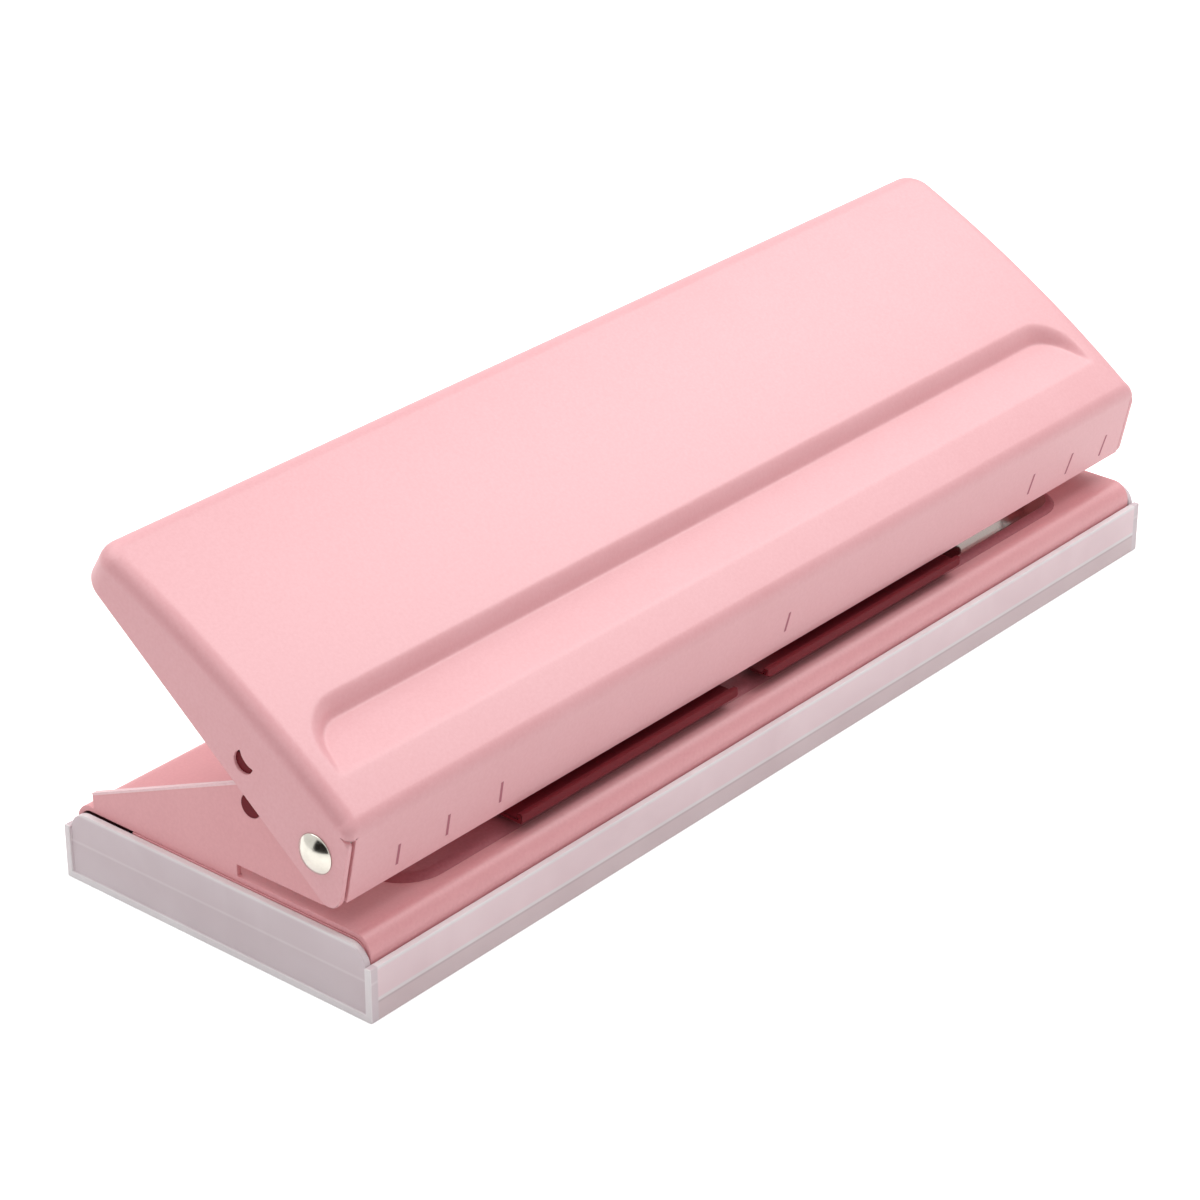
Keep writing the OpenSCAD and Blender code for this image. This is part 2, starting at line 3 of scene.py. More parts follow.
import bmesh
import bpy
import numpy as np
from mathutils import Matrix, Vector
from mathutils.geometry import delaunay_2d_cdt


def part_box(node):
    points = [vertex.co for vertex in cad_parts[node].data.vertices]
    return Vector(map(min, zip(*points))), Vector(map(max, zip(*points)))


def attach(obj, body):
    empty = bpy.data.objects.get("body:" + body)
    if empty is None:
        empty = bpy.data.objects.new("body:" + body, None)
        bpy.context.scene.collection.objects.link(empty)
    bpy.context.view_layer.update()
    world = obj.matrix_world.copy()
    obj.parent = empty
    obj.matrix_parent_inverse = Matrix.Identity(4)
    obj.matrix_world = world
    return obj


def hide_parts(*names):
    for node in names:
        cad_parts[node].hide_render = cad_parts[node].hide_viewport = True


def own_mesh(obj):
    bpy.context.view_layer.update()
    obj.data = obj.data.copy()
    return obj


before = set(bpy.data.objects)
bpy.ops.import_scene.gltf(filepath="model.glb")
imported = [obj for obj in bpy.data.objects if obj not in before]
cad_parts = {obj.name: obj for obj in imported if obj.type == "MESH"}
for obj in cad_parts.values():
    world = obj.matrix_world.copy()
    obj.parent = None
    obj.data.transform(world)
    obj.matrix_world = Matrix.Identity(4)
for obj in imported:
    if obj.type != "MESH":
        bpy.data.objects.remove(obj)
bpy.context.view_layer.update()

# Chip tray
# One injection moulding in frosted natural polypropylene, flexed over the base and pulled off to empty it.
# Its long walls are painted pink where the base would glow through them, and its top edges and corner posts are
# painted near white: painted glow and painted highlights.

def srgb(code):
    """Linear colour of an sRGB hex value: the standard sRGB curve undone on each channel."""
    c = np.array([int(code[i:i + 2], 16) for i in (0, 2, 4)]) / 255
    return (*np.where(c <= 0.04045, c / 12.92, ((c + 0.055) / 1.055) ** 2.4), 1.0)


def node(tree, kind, inputs=None, stops=(), **settings):
    """Adds one shader node: its settings, its inputs set or linked, and a ramp's stops as places and hex colours.
    Of a Mix node's sockets 0 is the factor, 2 and 3 are the two numbers, and 6 and 7 the two colours."""
    made = tree.nodes.new("ShaderNode" + kind)
    for key, value in settings.items():
        setattr(made, key, value)
    for key, value in (inputs or {}).items():
        if isinstance(value, bpy.types.NodeSocket):
            tree.links.new(value, made.inputs[key])
        else:
            made.inputs[key].default_value = value
    if stops:
        for spot, _ in stops[1:-1]:
            made.color_ramp.elements.new(spot)
        for element, (spot, code) in zip(made.color_ramp.elements, stops):
            element.position, element.color = spot, srgb(code)
    return made


def blank(name):
    """A new material with an empty node tree."""
    made = bpy.data.materials.new(name)
    made.use_nodes = True
    made.node_tree.nodes.clear()
    return made, made.node_tree


def dress(piece, material):
    """Gives a piece or a CAD node its one material."""
    piece.data.materials.clear()
    piece.data.materials.append(material)


def finish_piece(piece, material, body, slot, *nodes):
    """Gives a piece its material and its body, and hides the CAD nodes that it stands for. The slot is not used."""
    dress(piece, material)
    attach(piece, body)
    if nodes:
        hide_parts(*nodes)


def linked(name, data):
    """A new object for a mesh, a lamp or a camera, linked into the scene."""
    made = bpy.data.objects.new(name, data)
    bpy.context.scene.collection.objects.link(made)
    return made


def round_edges(piece, radius):
    """Rounds every edge sharper than forty degrees and keeps flat faces flat in the shading."""
    bevel = piece.modifiers.new("edges", "BEVEL")
    bevel.width = radius
    bevel.segments = 2
    bevel.limit_method = "ANGLE"
    bevel.angle_limit = math.radians(40)
    bevel.use_clamp_overlap = False
    weighted = piece.modifiers.new("flat_faces", "WEIGHTED_NORMAL")
    weighted.keep_sharp = True


def eased_copy(name, cad_node, radius):
    """A CAD node's solid with its sharp edges rounded: triangles merged, flat faces joined, edges bevelled."""
    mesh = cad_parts[cad_node].data.copy()
    if "custom_normal" in mesh.attributes:
        mesh.attributes.remove(mesh.attributes["custom_normal"])
    bm = bmesh.new()
    bm.from_mesh(mesh)
    bmesh.ops.remove_doubles(bm, verts=bm.verts, dist=2e-6)
    bmesh.ops.dissolve_limit(bm, angle_limit=math.radians(0.5), verts=bm.verts, edges=bm.edges)
    for edge in bm.edges:
        edge.smooth = True
    for face in bm.faces:
        face.smooth = True
    bm.to_mesh(mesh)
    bm.free()
    piece = linked(name, mesh)
    round_edges(piece, radius)
    return piece


# Frosted polypropylene: milky, with a fine matt mould texture of about 0.3 mm and faint flow marks some 20 mm wide.
# The long walls are painted pinker above the ledge and greyer below it, a painted glow of the base's skirt through
# them, with a painted shade line under the ledge and a painted highlight on it; the top edges, a line across the end
# walls and the corner posts are painted near-white highlights. Heights are shares of wall_top; end walls and corner
# posts begin this far from the middle, in metres.
wall_top, end_wall, corner_post = 0.016, (0.1302, 0.1306), (0.13205, 0.1323)
frosted_pp, tree = blank("frosted_polypropylene")
place = node(tree, "TexCoord").outputs["Object"]
axes = node(tree, "SeparateXYZ", {0: place})
along = node(tree, "Math", {0: axes.outputs["X"]}, operation="ABSOLUTE").outputs[0]
height = node(tree, "MapRange", {"Value": axes.outputs["Z"], "From Max": wall_top}).outputs["Result"]
long_wall_painted_light = node(tree, "ValToRGB", {"Fac": height}, stops=(
    (0.03, "e9d6d8"), (0.24, "e4d1d3"), (0.265, "d2bfc2"), (0.285, "f8f0f1"),
    (0.31, "f8f0f1"), (0.335, "fae1e5"), (0.69, "fce5e9"), (0.73, "fdf8f9")))
end_wall_painted_light = node(tree, "ValToRGB", {"Fac": height}, stops=(
    (0.03, "eadde1"), (0.52, "e4d6da"), (0.55, "f0e5e8"), (0.58, "e6d8dc"), (0.93, "eadde1"), (0.965, "fdf8f9")))
at_end, at_post = (node(tree, "MapRange", {"Value": along, "From Min": near, "From Max": far}).outputs["Result"]
                   for near, far in (end_wall, corner_post))
# Painted light: the pink glow on the walls and the near-white highlights on the corner posts
painted_glow_tint = node(tree, "Mix", {0: at_end, 6: long_wall_painted_light.outputs["Color"], 7: end_wall_painted_light.outputs["Color"]},
            data_type="RGBA")
painted_post_highlight = node(tree, "Mix", {0: at_post, 6: painted_glow_tint.outputs[2], 7: srgb("fdf8f9")}, data_type="RGBA")
grain = node(tree, "TexNoise", {"Vector": place, "Scale": 3300.0, "Detail": 2.0})
flow = node(tree, "TexNoise", {"Vector": place, "Scale": 45.0, "Detail": 3.0, "Distortion": 0.6})
milk = node(tree, "ValToRGB", {"Fac": flow.outputs["Fac"]}, stops=((0.3, "f3eff0"), (0.75, "ffffff")))
clouded = node(tree, "Mix", {0: 1.0, 6: painted_post_highlight.outputs[2], 7: milk.outputs["Color"]},
               data_type="RGBA", blend_type="MULTIPLY")
matt = node(tree, "MapRange", {"Value": flow.outputs["Fac"], "To Min": 0.42, "To Max": 0.54})
relief = node(tree, "Bump", {"Height": grain.outputs["Fac"], "Strength": 0.15, "Distance": 0.00005})
shell = node(tree, "BsdfPrincipled", {
    "Base Color": clouded.outputs[2], "Roughness": matt.outputs["Result"], "Normal": relief.outputs["Normal"],
    "IOR": 1.49, "Alpha": 0.96, "Subsurface Weight": 0.1, "Subsurface Scale": 0.002,
    "Subsurface Radius": (1.0, 0.9, 0.9)})
node(tree, "OutputMaterial", {"Surface": shell.outputs["BSDF"]})

tray = eased_copy("tray_moulding", "chip_tray", 0.00021)
finish_piece(tray, frosted_pp, "tray", "tray_plastic", "chip_tray")

# Base
# Deck and end cheeks, blanked and bent from one 1.2 mm sheet and powder coated after forming.
# The coat is a deeper pink than the lever's, satin, with a fine orange peel and rounded sheet edges.

def powder_coat(name, low, high, rough, shine=0.5):
    """Powder coat: two close shades in a fine mottle, with an orange peel; both come from two noises."""
    made, tree = blank(name)
    place = node(tree, "TexCoord").outputs["Object"]
    # Orange peel is about 0.4 mm wide; it is drawn at 0.7 mm, as coarse as it needs to show, in clouds of 17 mm
    bumps = node(tree, "TexNoise", {"Vector": place, "Scale": 1400.0, "Detail": 3.0, "Roughness": 0.6})
    cloud = node(tree, "TexNoise", {"Vector": place, "Scale": 60.0, "Detail": 4.0})
    both = node(tree, "Mix", {0: 0.35, 2: bumps.outputs["Fac"], 3: cloud.outputs["Fac"]}, data_type="FLOAT")
    shade = node(tree, "ValToRGB", {"Fac": both.outputs[0]}, stops=((0.35, low), (0.65, high)))
    satin = node(tree, "MapRange", {"Value": both.outputs[0], "From Min": 0.3, "From Max": 0.7,
                                    "To Min": rough - 0.05, "To Max": rough + 0.05})
    relief = node(tree, "Bump", {"Height": bumps.outputs["Fac"], "Strength": 0.25, "Distance": 0.00006})
    coat = node(tree, "BsdfPrincipled", {
        "Base Color": shade.outputs["Color"], "Roughness": satin.outputs["Result"],
        "Normal": relief.outputs["Normal"], "IOR": 1.6, "Specular IOR Level": shine})
    node(tree, "OutputMaterial", {"Surface": coat.outputs["BSDF"]})
    return made


deep_pink = powder_coat("powder_coat_deep_pink", "e79fa4", "eda9ad", rough=0.42)
base = eased_copy("base_sheet", "base_plate", 0.00022)
finish_piece(base, deep_pink, "base", "base_paint", "base_plate")


def piece_from(name, points, faces):
    """A new object from an array of points and a list of faces."""
    mesh = bpy.data.meshes.new(name)
    mesh.from_pydata(points.tolist(), [], faces)
    return linked(name, mesh)


def outward_piece(name, points, faces):
    """A closed piece from its points and faces, shaded smooth, with every face turned outwards."""
    piece = piece_from(name, points, faces)
    bm = bmesh.new()
    bm.from_mesh(piece.data)
    bmesh.ops.recalc_face_normals(bm, faces=bm.faces)
    bm.to_mesh(piece.data)
    bm.free()
    piece.data.shade_smooth()
    return piece


def stacked(flat, axis, *places):
    """A flat outline repeated at places along an axis, 0 for x and 2 for z: millimetres in, metres out."""
    return np.stack([np.insert(flat, axis, place, 1) for place in places]) / 1000


def prism(name, outlines, radius):
    """Closed solid over stacked outlines (levels, points, 3): walls between neighbours, flat first and last."""
    levels, n = outlines.shape[:2]
    k = np.arange(n)
    walls = [np.stack([k, (k + 1) % n, (k + 1) % n + n, k + n], 1) + n * i for i in range(levels - 1)]
    ends = [k[::-1].tolist(), (k + n * (levels - 1)).tolist()]
    piece = outward_piece(name, outlines.reshape(-1, 3), np.concatenate(walls).tolist() + ends)
    round_edges(piece, radius)
    return piece


# Deck in millimetres: its top, its front face and the bend between them
deck_top, deck_front, deck_bend = 17.2, -40.2, 4.0


def end_band():
    """Outline of the band under a sheared end of the deck: an even strip that follows the rounded front."""
    band_top, band_low, band_rear, band_foot = 1.15, 2.6, 24.0, 8.0
    turn = np.linspace(0, np.pi / 2, 9)
    lines = []
    for inset in (band_top, band_low):
        r = deck_bend - inset
        front = np.stack([deck_front + deck_bend - r * np.sin(turn), deck_top - deck_bend + r * np.cos(turn)], 1)
        lines.append(np.concatenate([[[band_rear, deck_top - inset]], front, [[deck_front + inset, band_foot]]]))
    return np.concatenate([lines[0], lines[1][::-1]])


def slope_edge():
    """Section of the painted highlight on a cheek's sloped edge: a thin bar along the slope, a little proud of the
    sheet.
    """
    rear, top, up = np.array([35.4, 20.4]), np.array([-8.4, 39.3]), np.array([0.395, 0.918])
    proud, sunk = 0.25 * up, 0.3 * up
    return np.stack([rear - sunk, rear + proud, top + proud, top - sunk])


# A paler coat on a thin bar along each cheek's sloped edge: a painted highlight, for the light that the edge catches
painted_edge_highlight = powder_coat("powder_coat_painted_edge_highlight", "f2c6ca", "f8d2d5", rough=0.4)
hands = (("left", -1), ("right", 1))
for hand, s in hands:
    for name, flat, inner, outer, coat in (("deck_end_band_", end_band(), 130.1, 130.42, deep_pink),
                                           ("cheek_edge_", slope_edge(), 128.95, 130.27, painted_edge_highlight)):
        strip = prism(name + hand, stacked(flat, 0, s * inner, s * outer), 0.00008)
        finish_piece(strip, coat, "base", "base_paint")

# Die plate
# Nickel-plated steel plate riveted on the deck, with the six cutting holes.
# Its drawing lines run along it, and it mirrors the inside of the throat.

def plated_steel(name, low, high, grain):
    """Plated sheet steel: metal with drawing lines along X, a noise stretched to grain lines in each metre."""
    made, tree = blank(name)
    place = node(tree, "TexCoord").outputs["Object"]
    # Drawing lines are finer than 0.1 mm; they are drawn at about half a millimetre, as coarse as they need to show
    turned = node(tree, "Mapping", {"Vector": place, "Scale": (40.0, grain, grain)})
    lines = node(tree, "TexNoise", {"Vector": turned.outputs["Vector"], "Scale": 1.0, "Detail": 4.0})
    tone = node(tree, "ValToRGB", {"Fac": lines.outputs["Fac"]}, stops=((0.3, low), (0.7, high)))
    gloss = node(tree, "MapRange", {"Value": lines.outputs["Fac"], "From Min": 0.3, "From Max": 0.7,
                                    "To Min": 0.24, "To Max": 0.375})
    relief = node(tree, "Bump", {"Height": lines.outputs["Fac"], "Strength": 0.08, "Distance": 0.00003})
    metal = node(tree, "BsdfPrincipled", {
        "Base Color": tone.outputs["Color"], "Roughness": gloss.outputs["Result"],
        "Normal": relief.outputs["Normal"], "Metallic": 1.0})
    node(tree, "OutputMaterial", {"Surface": metal.outputs["BSDF"]})
    return made


# Nickel plate is a warm grey metal, half bright, that blurs what it mirrors along the drawing lines
nickel_sheet = plated_steel("nickel_plated_sheet", "8f8981", "a59f96", grain=2500.0)
die = eased_copy("die_plate_nickel", "die_plate", 0.00015)
finish_piece(die, nickel_sheet, "base", "zinc_steel", "die_plate")

# Die lead-in
# The front of the die plate, ground to a long chamfer that leads the paper in, with rounded corners at both
# ends. Its enamel is a muted rose, darker than the coat of the deck that it lies on.

def lead_outline(grow):
    """Plan of the lead-in: a long bar whose two front corners are quarter circles, grown outwards by grow."""
    turn = np.linspace(0, np.pi / 2, 10)
    r, front, back, end = 8.0 + grow, -32.4 - grow, -19.5, 112.0 + grow
    right = np.stack([end - r + r * np.sin(turn), front + r - r * np.cos(turn)], 1)
    return np.concatenate([right, [[end, back], [-end, back]], right[::-1] * [-1, 1]])


# Rose enamel over nickel plate: matt, with a mottle drawn at 0.7 mm, as coarse as it needs to show. On top of the
# right end a patch is made bare polished nickel, a painted reflection placed so that it mirrors the light behind the
# lever.
# The patch begins at these values of x and z in metres.
patch_x, patch_z = (0.053, 0.060), (0.0183, 0.0184)
rose_with_reflection_patch, tree = blank("rose_enamel_reflection_patch_bright")
place = node(tree, "TexCoord").outputs["Object"]
axes = node(tree, "SeparateXYZ", {0: place})
mottle = node(tree, "TexNoise", {"Vector": place, "Scale": 1400.0, "Detail": 3.0})
rose = node(tree, "ValToRGB", {"Fac": mottle.outputs["Fac"]}, stops=((0.0, "ac6068"), (1.0, "c0747c")))
right_end, top_face = (node(tree, "MapRange", {"Value": axes.outputs[axis], "From Min": near, "From Max": far})
                       for axis, (near, far) in (("X", patch_x), ("Z", patch_z)))
# Painted reflection: a bare polished patch on top of the right end
reflection_patch = node(tree, "Math", {0: right_end.outputs["Result"], 1: top_face.outputs["Result"]}, operation="MULTIPLY")
skin = node(tree, "Mix", {0: reflection_patch.outputs[0], 6: rose.outputs["Color"], 7: srgb("aca09a")}, data_type="RGBA")
gloss = node(tree, "MapRange", {"Value": reflection_patch.outputs[0], "To Min": 0.5, "To Max": 0.1})
relief = node(tree, "Bump", {"Height": mottle.outputs["Fac"], "Strength": 0.1, "Distance": 0.00003})
enamel = node(tree, "BsdfPrincipled", {
    "Base Color": skin.outputs[2], "Roughness": gloss.outputs["Result"], "Metallic": reflection_patch.outputs[0],
    "Normal": relief.outputs["Normal"], "Specular IOR Level": 0.2})
node(tree, "OutputMaterial", {"Surface": enamel.outputs["BSDF"]})

lead_top, chamfer = 18.42, 2.2
lead = prism("die_lead_in", np.concatenate([stacked(lead_outline(chamfer), 2, deck_top),
                                            stacked(lead_outline(0), 2, lead_top)]), 0.00005)
finish_piece(lead, rose_with_reflection_patch, "base", "base_paint")

# Guide rails
# Two joggled strips of sheet: a foot riveted to the deck, the paper stop, and a guide whose front lip is turned up.
# They are given a matt dark red, much darker than the coat of the base: painted shade, for the deep shade in the
# throat.

# A dark red coat with hardly any shine, painted shade that keeps the rails dark in the throat
painted_shade_red = powder_coat("stoved_painted_shade_red", "6b1a24", "782129", rough=0.6, shine=0.1)
for hand in ("left", "right"):
    rail = eased_copy("rail_strip_" + hand, "guide_rail_" + hand, 0.00025)
    finish_piece(rail, painted_shade_red, "base", "base_paint", "guide_rail_" + hand)


def lip_section(lift):
    """Section of a rail's lip: plate, outside bend and upturned edge, with its underside lifted by lift."""
    bend_y, bend_z, bend_r, rear, top = -36.0, 20.6, 1.2, -27.2, 22.0
    swing = np.linspace(0, np.pi / 2, 7)
    under = np.stack([bend_y - bend_r * np.sin(swing), bend_z - bend_r * np.cos(swing)], 1)
    edge = [[bend_y - bend_r, top], [bend_y, top], [bend_y, 20.9]]
    profile = np.concatenate([[[rear, 19.9]], under, edge, [[rear, 21.1]]])
    profile[:, 1] = np.maximum(profile[:, 1], bend_z - bend_r + lift)
    return profile


# Each lip sweeps up at its left end, over the length r, as a quarter of an ellipse does
lip_sweep = 1.4
step = np.linspace(0, 1, 9)
lifts = np.append(lip_sweep * (1 - np.sqrt(1 - (1 - step ** 2) ** 2)), 0.0)
for hand, x0, x1, r in (("left", -83.7, -15.0, 1.0), ("right", -5.0, 65.3, 5.0)):
    places = np.append(x0 + r * step ** 2, x1)
    sections = np.concatenate([stacked(lip_section(lift), 0, x) for x, lift in zip(places, lifts)])
    lip = prism("rail_lip_" + hand, sections, 0.0002)
    finish_piece(lip, painted_shade_red, "base", "base_paint")

# Rivets, bushes and washers
# Zinc-plated rivets and turned steel guide bushes keep the shapes of the solids.
# The washers that take the lever's side play are natural nylon.

# Bright zinc is bluish and lighter than nickel, with the lines of drawing or turning under the plate
zinc = plated_steel("bright_zinc", "b4b7ba", "cfd2d5", grain=1800.0)
for name in ["die_rivets", "rail_rivets"] + ["guide_bush_%d" % i for i in range(1, 7)]:
    dress(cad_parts[name], zinc)

# Moulded natural nylon: off-white and waxy, slightly translucent, with a faint haze about 1 mm wide
nylon, tree = blank("natural_nylon")
place = node(tree, "TexCoord").outputs["Object"]
haze = node(tree, "TexNoise", {"Vector": place, "Scale": 900.0, "Detail": 3.0})
tone = node(tree, "ValToRGB", {"Fac": haze.outputs["Fac"]}, stops=((0.0, "dedad0"), (1.0, "efece4")))
relief = node(tree, "Bump", {"Height": haze.outputs["Fac"], "Strength": 0.1, "Distance": 0.00005})
soft = node(tree, "BsdfPrincipled", {
    "Base Color": tone.outputs["Color"], "Normal": relief.outputs["Normal"], "Roughness": 0.5, "IOR": 1.53,
    "Subsurface Weight": 0.1, "Subsurface Scale": 0.001})
node(tree, "OutputMaterial", {"Surface": soft.outputs["BSDF"]})
for hand in ("left", "right"):
    dress(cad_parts["pivot_washer_" + hand], nylon)

# Punches
# Six ground tool-steel pins with crowned heads; the cutting end is ground to two points.
# Each slides in its guide bush and is pushed by the press bar.

# Ground tool steel: bright, with grinding rings round the pin about 0.15 mm apart
ground_steel, tree = blank("ground_tool_steel")
place = node(tree, "TexCoord").outputs["Object"]
stretched = node(tree, "Mapping", {"Vector": place, "Scale": (60.0, 60.0, 6000.0)})
rings = node(tree, "TexNoise", {"Vector": stretched.outputs["Vector"], "Scale": 1.0, "Detail": 3.0})
tone = node(tree, "ValToRGB", {"Fac": rings.outputs["Fac"]}, stops=((0.0, "9da0a3"), (1.0, "c6c8ca")))
relief = node(tree, "Bump", {"Height": rings.outputs["Fac"], "Strength": 0.1, "Distance": 0.00003})
metal = node(tree, "BsdfPrincipled", {
    "Base Color": tone.outputs["Color"], "Normal": relief.outputs["Normal"], "Roughness": 0.25, "Metallic": 1.0})
node(tree, "OutputMaterial", {"Surface": metal.outputs["BSDF"]})
for i in range(1, 7):
    pin = eased_copy("punch_pin_%d" % i, "punch_%d" % i, 0.00015)
    finish_piece(pin, ground_steel, "punch_%d" % i, "punch_steel", "punch_%d" % i)

# Springs
# Compression springs of drawn wire with closed end turns; each stands on its bush and lifts its punch.
# The two lever springs stand between the pressed-out seats of cheek and lever.

def coil(name, centre, radius, wire, turns, low, high):
    """Round wire carried along a helix: slow rise over the first and last turn, so that the ends lie closed."""
    along, around, slow = 28 * turns, 12, 0.22
    t = np.linspace(0, 1, along + 1)
    from_end = np.minimum(t, 1 - t) * turns
    speed = slow + (1 - slow) * np.clip(from_end - 0.55, 0, 1)
    climb = np.concatenate([[0], np.cumsum((speed[1:] + speed[:-1]) / 2)])
    z = low + wire / 2 + (high - low - wire) * climb / climb[-1]
    a = 2 * np.pi * turns * t
    path = np.stack([centre[0] + radius * np.cos(a), centre[1] + radius * np.sin(a), z], 1)
    run = np.gradient(path, axis=0)
    run /= np.linalg.norm(run, axis=1, keepdims=True)
    out = np.stack([np.cos(a), np.sin(a), 0 * a], 1)
    up = np.cross(run, out)
    b = 2 * np.pi * np.arange(around) / around
    ring = wire / 2 * (np.cos(b)[None, :, None] * out[:, None] + np.sin(b)[None, :, None] * up[:, None])
    points = (path[:, None] + ring).reshape(-1, 3)
    i, k = np.meshgrid(np.arange(along), np.arange(around), indexing="ij")
    j = (k + 1) % around
    walls = np.stack([i * around + k, i * around + j, (i + 1) * around + j, (i + 1) * around + k], -1)
    faces = walls.reshape(-1, 4)[:, ::-1].tolist()
    faces += [list(range(around)), list(range((along + 1) * around - 1, along * around - 1, -1))]
    return outward_piece(name, points, faces)


def upright_axis(cad_node):
    """x and y of a CAD node's upright axis, the middle of its box."""
    low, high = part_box(cad_node)
    return (low.x + high.x) / 2, (low.y + high.y) / 2


# Drawn spring wire: dark bright steel with die lines along the wire, drawn here as a cloud of 0.4 mm, as coarse as
# it needs to show
spring_wire, tree = blank("drawn_spring_wire")
place = node(tree, "TexCoord").outputs["Object"]
lines = node(tree, "TexNoise", {"Vector": place, "Scale": 2500.0, "Detail": 3.0})
tone = node(tree, "ValToRGB", {"Fac": lines.outputs["Fac"]}, stops=((0.0, "8d9094"), (1.0, "bfc1c4")))
gloss = node(tree, "MapRange", {"Value": lines.outputs["Fac"], "To Min": 0.22, "To Max": 0.4})
metal = node(tree, "BsdfPrincipled", {
    "Base Color": tone.outputs["Color"], "Roughness": gloss.outputs["Result"], "Metallic": 1.0})
node(tree, "OutputMaterial", {"Surface": metal.outputs["BSDF"]})

# In metres: top of the bushes, thickness of a punch's head, and the lever springs' seats on cheek and lever
bush_top, head_thick, cheek_seat, lever_seat = 0.0224, 0.0025, 0.0358, 0.0472
for i in range(1, 7):
    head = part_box("punch_%d" % i)[1].z - head_thick
    middle = upright_axis("punch_spring_%d" % i)
    spring = coil("punch_spring_wire_%d" % i, middle, radius=0.0042, wire=0.0009, turns=7, low=bush_top, high=head)
    finish_piece(spring, spring_wire, "base", "spring_steel", "punch_spring_%d" % i)
    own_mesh(spring)
for hand in ("left", "right"):
    middle = upright_axis("lever_spring_" + hand)
    spring = coil("lever_spring_wire_" + hand, middle, radius=0.0021, wire=0.0007, turns=5,
                  low=cheek_seat, high=lever_seat)
    finish_piece(spring, spring_wire, "base", "spring_steel", "lever_spring_" + hand)
    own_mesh(spring)

# Pivot rivets
# Domed rivets of nickel-plated steel, headed cold and polished.
# Each holds cheek, washer and lever together, and the lever turns on its shank.

# Polished nickel: a warm mirror, dulled a little by handling marks some 1.4 mm wide
nickel, tree = blank("polished_nickel")
place = node(tree, "TexCoord").outputs["Object"]
marks = node(tree, "TexNoise", {"Vector": place, "Scale": 700.0, "Detail": 5.0})
tone = node(tree, "ValToRGB", {"Fac": marks.outputs["Fac"]}, stops=((0.0, "c4bfb4"), (1.0, "ddd9cf")))
gloss = node(tree, "MapRange", {"Value": marks.outputs["Fac"], "To Min": 0.12, "To Max": 0.26})
metal = node(tree, "BsdfPrincipled", {
    "Base Color": tone.outputs["Color"], "Roughness": gloss.outputs["Result"], "Metallic": 1.0})
node(tree, "OutputMaterial", {"Surface": metal.outputs["BSDF"]})
for hand in ("left", "right"):
    rivet = eased_copy("rivet_" + hand, "pivot_rivet_" + hand, 0.0002)
    finish_piece(rivet, nickel, "base", "rivet_nickel", "pivot_rivet_" + hand)

# Lever
# Deep-drawn from 1.2 mm sheet: top plate with a finger scoop, front flange, side flanges and a rear flange, with a
# relief slot at the left front corner and a closed one at the right. Powder coated a pale satin pink.
# It is worked out level about the pivot axis, in millimetres: x along, u to the rear, w up.
half, sheet, rear = 133.0, 1.2, 73.0
reach, drop, lean = 9.9, 5.1, math.radians(20)
side_drop, taper = 7.2, math.tan(math.radians(7.2))
front_r, side_r, rear_r, corner_r, toe_r, slot_r = 4.0, 3.5, 4.2, 6.0, 3.2, 1.5
slot_top, open_angle = 9.2, math.radians(31.5)
pivot, rivet_r = np.array([0.0, -29.4, 33.0]), 2.3
# The top plate is slightly crowned: it starts at the front bend with this slope and bends back by this sag
bend_w, rise, sag = 7.9, 0.093, 0.00155


def front_face(w):
    """u of the front flange's outer face at height w: a straight line leaning back by the flange's lean."""
    return -reach + (w + drop) * math.tan(lean)


def lower_edge(u):
    """w of the side flanges' lower edge: a straight taper towards the rear."""
    return -side_drop + u * taper


def scoop_depth(x, u):
    """Depth of the finger scoop: a floor falling to the rear, met by a steep wall along a round-cornered outline.
    Floor and wall are each eased to nothing, the wall more softly, and joined by a p-norm minimum."""
    length, back, round_r, front, fall, steep = 124.6, 20.2, 9.0, 6.6, 0.26, 1.9
    floor_ease, wall_ease, power = 0.2, 2.4, 9.0
    ax = np.abs(x)
    corner = round_r - np.hypot(np.maximum(ax - length + round_r, 0), np.maximum(u - back + round_r, 0))
    inside = np.minimum(corner, np.minimum(length - ax, back - u))

    def eased(f, k):
        h = np.clip(0.5 + 0.5 * f / k, 0, 1)
        return f * h + k * h * (1 - h) + 1e-9

    floor, wall = eased((u - front) * fall, floor_ease), eased(inside, wall_ease) * steep
    return (floor ** -power + wall ** -power) ** (-1 / power)


def to_frame(p):
    """Level lever millimetres to the frame's metres: turn by the opening angle, move to the pivot."""
    x, u, w = p[..., 0], p[..., 1], p[..., 2]
    y = u * math.cos(open_angle) - w * math.sin(open_angle)
    z = u * math.sin(open_angle) + w * math.cos(open_angle)
    return (np.stack([x, y, z], -1) + pivot) / 1000


# Rows from the foot of the front flange over the bend and the plate to the rear corners; n is the normal's angle.
# Up to slot_row they pass the relief slots, and scoop_end is the last u of the dense rows of the scoop.
slot_row, scoop_end = 8, 25.0
bend_u = front_face(bend_w) + front_r / math.cos(lean)
w_flange = np.append(np.linspace(-drop, slot_top, slot_row + 1), bend_w + front_r * math.sin(lean))
arc = np.linspace(math.pi - lean, math.pi / 2 + math.atan(rise), 12)[1:]
start = np.array([bend_u + front_r * math.cos(arc[-1]), bend_w + front_r * math.sin(arc[-1])])
turn = np.linspace(0, math.pi / 2, 14)[1:]
turn_r = side_r + (rear_r - side_r) * np.sin(turn)
u_plate = np.concatenate([np.linspace(start[0], scoop_end, 64)[1:], np.linspace(scoop_end, rear - corner_r, 16)[1:],
                          rear - corner_r + (corner_r - turn_r) * np.sin(turn)])
w_plate = start[1] + rise * (u_plate - start[0]) - sag * (u_plate - start[0]) ** 2
